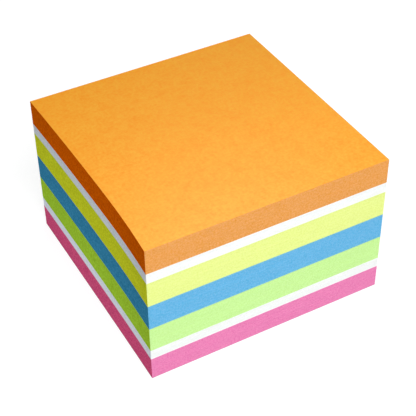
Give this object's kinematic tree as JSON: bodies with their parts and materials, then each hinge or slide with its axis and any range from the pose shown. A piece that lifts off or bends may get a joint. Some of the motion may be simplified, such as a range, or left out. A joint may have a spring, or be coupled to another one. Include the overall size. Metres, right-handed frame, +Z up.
{
  "type": "sticky note cube",
  "caption": "Square cube of sticky notes in coloured blocks, glued sheet to sheet along one edge and peeled off one at a time from the top.",
  "frame": {"origin": "middle of the underside, where the cube stands", "axes": "+Z up through the stack of notes, -Y to the front, -X to the left"},
  "size_m": [0.076, 0.076, 0.0483],
  "materials": {
    "backing_paper": "matte",
    "pink_paper": "matte",
    "white_paper": "matte",
    "green_paper": "matte",
    "blue_paper": "matte",
    "yellow_paper": "matte",
    "orange_paper": "matte"
  },
  "bodies": {
    "root": {"backing_sheet": "backing_paper", "pink_block": "pink_paper", "lower_white_block": "white_paper", "green_block": "green_paper", "blue_block": "blue_paper", "yellow_block": "yellow_paper", "upper_white_block": "white_paper", "orange_block": "orange_paper"}
  },
  "joints": []
}
